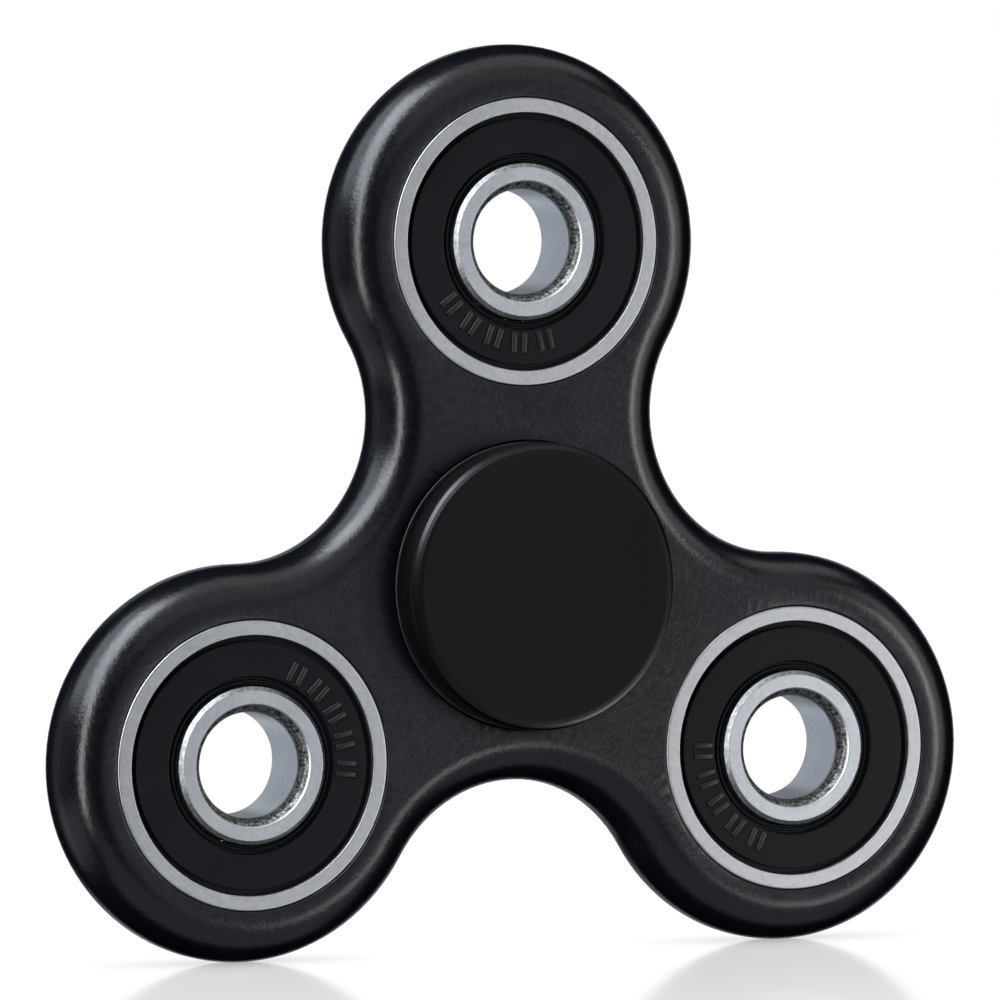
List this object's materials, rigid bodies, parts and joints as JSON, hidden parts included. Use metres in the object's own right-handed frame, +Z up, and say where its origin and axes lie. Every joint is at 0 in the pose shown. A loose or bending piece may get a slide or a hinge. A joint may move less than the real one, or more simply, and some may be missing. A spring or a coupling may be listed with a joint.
{
  "type": "fidget spinner",
  "caption": "Flat lobed fidget spinner: a moulded body with a sealed ball bearing in each lobe, turning on a hub bearing between finger caps.",
  "frame": {"origin": "middle of the hub bearing, on the spin axis and half way through its width", "axes": "+Y along the spin axis from the front cap to the back cap, +Z up through the top lobe, +X to the right seen from the front"},
  "size_m": [0.0756, 0.014, 0.0695],
  "materials": {
    "body_plastic": "satin black moulded plastic with a fine grain",
    "cap_plastic": "matte black moulded plastic",
    "ring_steel": "finely ground bearing steel",
    "ball_steel": "polished bearing steel",
    "seal_rubber": "smooth black moulded rubber",
    "cage_nylon": "natural moulded nylon"
  },
  "bodies": {
    "hub": {"front_cap": "cap_plastic", "back_cap": "cap_plastic", "hub_inner_ring": "ring_steel"},
    "frame": {"body_frame": "body_plastic", "hub_outer_ring": "ring_steel", "hub_front_seal": "seal_rubber", "hub_back_seal": "seal_rubber", "top_outer_ring": "ring_steel", "top_front_seal": "seal_rubber", "top_back_seal": "seal_rubber", "left_outer_ring": "ring_steel", "left_front_seal": "seal_rubber", "left_back_seal": "seal_rubber", "right_outer_ring": "ring_steel", "right_front_seal": "seal_rubber", "right_back_seal": "seal_rubber"},
    "hub_cage": {"hub_cage": "cage_nylon"},
    "hub_ball_1": {"hub_ball_1": "ball_steel"},
    "hub_ball_2": {"hub_ball_2": "ball_steel"},
    "hub_ball_3": {"hub_ball_3": "ball_steel"},
    "hub_ball_4": {"hub_ball_4": "ball_steel"},
    "hub_ball_5": {"hub_ball_5": "ball_steel"},
    "hub_ball_6": {"hub_ball_6": "ball_steel"},
    "hub_ball_7": {"hub_ball_7": "ball_steel"},
    "top_cage": {"top_cage": "cage_nylon"},
    "top_inner": {"top_inner_ring": "ring_steel"},
    "top_ball_1": {"top_ball_1": "ball_steel"},
    "top_ball_2": {"top_ball_2": "ball_steel"},
    "top_ball_3": {"top_ball_3": "ball_steel"},
    "top_ball_4": {"top_ball_4": "ball_steel"},
    "top_ball_5": {"top_ball_5": "ball_steel"},
    "top_ball_6": {"top_ball_6": "ball_steel"},
    "top_ball_7": {"top_ball_7": "ball_steel"},
    "left_cage": {"left_cage": "cage_nylon"},
    "left_inner": {"left_inner_ring": "ring_steel"},
    "left_ball_1": {"left_ball_1": "ball_steel"},
    "left_ball_2": {"left_ball_2": "ball_steel"},
    "left_ball_3": {"left_ball_3": "ball_steel"},
    "left_ball_4": {"left_ball_4": "ball_steel"},
    "left_ball_5": {"left_ball_5": "ball_steel"},
    "left_ball_6": {"left_ball_6": "ball_steel"},
    "left_ball_7": {"left_ball_7": "ball_steel"},
    "right_cage": {"right_cage": "cage_nylon"},
    "right_inner": {"right_inner_ring": "ring_steel"},
    "right_ball_1": {"right_ball_1": "ball_steel"},
    "right_ball_2": {"right_ball_2": "ball_steel"},
    "right_ball_3": {"right_ball_3": "ball_steel"},
    "right_ball_4": {"right_ball_4": "ball_steel"},
    "right_ball_5": {"right_ball_5": "ball_steel"},
    "right_ball_6": {"right_ball_6": "ball_steel"},
    "right_ball_7": {"right_ball_7": "ball_steel"}
  },
  "joints": [
    {"name": "frame_spin", "type": "hinge", "parent": "hub", "child": "frame", "pos_m": [0, 0, 0], "axis": [0, 1, 0], "continuous": true},
    {"name": "hub_cage_orbit", "type": "hinge", "parent": "hub", "child": "hub_cage", "pos_m": [0, 0, 0], "axis": [0, 1, 0], "continuous": true},
    {"name": "hub_ball_1_roll", "type": "hinge", "parent": "hub_cage", "child": "hub_ball_1", "pos_m": [0, 0, 0.0075], "axis": [0, 1, 0], "continuous": true},
    {"name": "hub_ball_2_roll", "type": "hinge", "parent": "hub_cage", "child": "hub_ball_2", "pos_m": [-0.00586, 0, 0.00468], "axis": [0, 1, 0], "continuous": true},
    {"name": "hub_ball_3_roll", "type": "hinge", "parent": "hub_cage", "child": "hub_ball_3", "pos_m": [-0.00731, 0, -0.00167], "axis": [0, 1, 0], "continuous": true},
    {"name": "hub_ball_4_roll", "type": "hinge", "parent": "hub_cage", "child": "hub_ball_4", "pos_m": [-0.00325, 0, -0.00676], "axis": [0, 1, 0], "continuous": true},
    {"name": "hub_ball_5_roll", "type": "hinge", "parent": "hub_cage", "child": "hub_ball_5", "pos_m": [0.00325, 0, -0.00676], "axis": [0, 1, 0], "continuous": true},
    {"name": "hub_ball_6_roll", "type": "hinge", "parent": "hub_cage", "child": "hub_ball_6", "pos_m": [0.00731, 0, -0.00167], "axis": [0, 1, 0], "continuous": true},
    {"name": "hub_ball_7_roll", "type": "hinge", "parent": "hub_cage", "child": "hub_ball_7", "pos_m": [0.00586, 0, 0.00468], "axis": [0, 1, 0], "continuous": true},
    {"name": "top_inner_spin", "type": "hinge", "parent": "frame", "child": "top_inner", "pos_m": [0, 0, 0.02625], "axis": [0, 1, 0], "continuous": true},
    {"name": "top_cage_orbit", "type": "hinge", "parent": "frame", "child": "top_cage", "pos_m": [0, 0, 0.02625], "axis": [0, 1, 0], "continuous": true},
    {"name": "top_ball_1_roll", "type": "hinge", "parent": "top_cage", "child": "top_ball_1", "pos_m": [0, 0, 0.03375], "axis": [0, 1, 0], "continuous": true},
    {"name": "top_ball_2_roll", "type": "hinge", "parent": "top_cage", "child": "top_ball_2", "pos_m": [-0.00586, 0, 0.03093], "axis": [0, 1, 0], "continuous": true},
    {"name": "top_ball_3_roll", "type": "hinge", "parent": "top_cage", "child": "top_ball_3", "pos_m": [-0.00731, 0, 0.02458], "axis": [0, 1, 0], "continuous": true},
    {"name": "top_ball_4_roll", "type": "hinge", "parent": "top_cage", "child": "top_ball_4", "pos_m": [-0.00325, 0, 0.01949], "axis": [0, 1, 0], "continuous": true},
    {"name": "top_ball_5_roll", "type": "hinge", "parent": "top_cage", "child": "top_ball_5", "pos_m": [0.00325, 0, 0.01949], "axis": [0, 1, 0], "continuous": true},
    {"name": "top_ball_6_roll", "type": "hinge", "parent": "top_cage", "child": "top_ball_6", "pos_m": [0.00731, 0, 0.02458], "axis": [0, 1, 0], "continuous": true},
    {"name": "top_ball_7_roll", "type": "hinge", "parent": "top_cage", "child": "top_ball_7", "pos_m": [0.00586, 0, 0.03093], "axis": [0, 1, 0], "continuous": true},
    {"name": "left_inner_spin", "type": "hinge", "parent": "frame", "child": "left_inner", "pos_m": [-0.02273, 0, -0.01312], "axis": [0, 1, 0], "continuous": true},
    {"name": "left_cage_orbit", "type": "hinge", "parent": "frame", "child": "left_cage", "pos_m": [-0.02273, 0, -0.01312], "axis": [0, 1, 0], "continuous": true},
    {"name": "left_ball_1_roll", "type": "hinge", "parent": "left_cage", "child": "left_ball_1", "pos_m": [-0.02273, 0, -0.00562], "axis": [0, 1, 0], "continuous": true},
    {"name": "left_ball_2_roll", "type": "hinge", "parent": "left_cage", "child": "left_ball_2", "pos_m": [-0.0286, 0, -0.00845], "axis": [0, 1, 0], "continuous": true},
    {"name": "left_ball_3_roll", "type": "hinge", "parent": "left_cage", "child": "left_ball_3", "pos_m": [-0.03005, 0, -0.01479], "axis": [0, 1, 0], "continuous": true},
    {"name": "left_ball_4_roll", "type": "hinge", "parent": "left_cage", "child": "left_ball_4", "pos_m": [-0.02599, 0, -0.01988], "axis": [0, 1, 0], "continuous": true},
    {"name": "left_ball_5_roll", "type": "hinge", "parent": "left_cage", "child": "left_ball_5", "pos_m": [-0.01948, 0, -0.01988], "axis": [0, 1, 0], "continuous": true},
    {"name": "left_ball_6_roll", "type": "hinge", "parent": "left_cage", "child": "left_ball_6", "pos_m": [-0.01542, 0, -0.01479], "axis": [0, 1, 0], "continuous": true},
    {"name": "left_ball_7_roll", "type": "hinge", "parent": "left_cage", "child": "left_ball_7", "pos_m": [-0.01687, 0, -0.00845], "axis": [0, 1, 0], "continuous": true},
    {"name": "right_inner_spin", "type": "hinge", "parent": "frame", "child": "right_inner", "pos_m": [0.02273, 0, -0.01312], "axis": [0, 1, 0], "continuous": true},
    {"name": "right_cage_orbit", "type": "hinge", "parent": "frame", "child": "right_cage", "pos_m": [0.02273, 0, -0.01312], "axis": [0, 1, 0], "continuous": true},
    {"name": "right_ball_1_roll", "type": "hinge", "parent": "right_cage", "child": "right_ball_1", "pos_m": [0.02273, 0, -0.00562], "axis": [0, 1, 0], "continuous": true},
    {"name": "right_ball_2_roll", "type": "hinge", "parent": "right_cage", "child": "right_ball_2", "pos_m": [0.01687, 0, -0.00845], "axis": [0, 1, 0], "continuous": true},
    {"name": "right_ball_3_roll", "type": "hinge", "parent": "right_cage", "child": "right_ball_3", "pos_m": [0.01542, 0, -0.01479], "axis": [0, 1, 0], "continuous": true},
    {"name": "right_ball_4_roll", "type": "hinge", "parent": "right_cage", "child": "right_ball_4", "pos_m": [0.01948, 0, -0.01988], "axis": [0, 1, 0], "continuous": true},
    {"name": "right_ball_5_roll", "type": "hinge", "parent": "right_cage", "child": "right_ball_5", "pos_m": [0.02599, 0, -0.01988], "axis": [0, 1, 0], "continuous": true},
    {"name": "right_ball_6_roll", "type": "hinge", "parent": "right_cage", "child": "right_ball_6", "pos_m": [0.03005, 0, -0.01479], "axis": [0, 1, 0], "continuous": true},
    {"name": "right_ball_7_roll", "type": "hinge", "parent": "right_cage", "child": "right_ball_7", "pos_m": [0.0286, 0, -0.00845], "axis": [0, 1, 0], "continuous": true}
  ],
  "couplings": [
    {"joint": "hub_cage_orbit", "follows": "frame_spin", "ratio": 0.6323},
    {"joint": "hub_ball_1_roll", "follows": "frame_spin", "ratio": 1.7573},
    {"joint": "hub_ball_2_roll", "follows": "frame_spin", "ratio": 1.7573},
    {"joint": "hub_ball_3_roll", "follows": "frame_spin", "ratio": 1.7573},
    {"joint": "hub_ball_4_roll", "follows": "frame_spin", "ratio": 1.7573},
    {"joint": "hub_ball_5_roll", "follows": "frame_spin", "ratio": 1.7573},
    {"joint": "hub_ball_6_roll", "follows": "frame_spin", "ratio": 1.7573},
    {"joint": "hub_ball_7_roll", "follows": "frame_spin", "ratio": 1.7573},
    {"joint": "top_cage_orbit", "follows": "top_inner_spin", "ratio": 0.3677},
    {"joint": "top_ball_1_roll", "follows": "top_inner_spin", "ratio": -1.7573},
    {"joint": "top_ball_2_roll", "follows": "top_inner_spin", "ratio": -1.7573},
    {"joint": "top_ball_3_roll", "follows": "top_inner_spin", "ratio": -1.7573},
    {"joint": "top_ball_4_roll", "follows": "top_inner_spin", "ratio": -1.7573},
    {"joint": "top_ball_5_roll", "follows": "top_inner_spin", "ratio": -1.7573},
    {"joint": "top_ball_6_roll", "follows": "top_inner_spin", "ratio": -1.7573},
    {"joint": "top_ball_7_roll", "follows": "top_inner_spin", "ratio": -1.7573},
    {"joint": "left_cage_orbit", "follows": "left_inner_spin", "ratio": 0.3677},
    {"joint": "left_ball_1_roll", "follows": "left_inner_spin", "ratio": -1.7573},
    {"joint": "left_ball_2_roll", "follows": "left_inner_spin", "ratio": -1.7573},
    {"joint": "left_ball_3_roll", "follows": "left_inner_spin", "ratio": -1.7573},
    {"joint": "left_ball_4_roll", "follows": "left_inner_spin", "ratio": -1.7573},
    {"joint": "left_ball_5_roll", "follows": "left_inner_spin", "ratio": -1.7573},
    {"joint": "left_ball_6_roll", "follows": "left_inner_spin", "ratio": -1.7573},
    {"joint": "left_ball_7_roll", "follows": "left_inner_spin", "ratio": -1.7573},
    {"joint": "right_cage_orbit", "follows": "right_inner_spin", "ratio": 0.3677},
    {"joint": "right_ball_1_roll", "follows": "right_inner_spin", "ratio": -1.7573},
    {"joint": "right_ball_2_roll", "follows": "right_inner_spin", "ratio": -1.7573},
    {"joint": "right_ball_3_roll", "follows": "right_inner_spin", "ratio": -1.7573},
    {"joint": "right_ball_4_roll", "follows": "right_inner_spin", "ratio": -1.7573},
    {"joint": "right_ball_5_roll", "follows": "right_inner_spin", "ratio": -1.7573},
    {"joint": "right_ball_6_roll", "follows": "right_inner_spin", "ratio": -1.7573},
    {"joint": "right_ball_7_roll", "follows": "right_inner_spin", "ratio": -1.7573}
  ]
}
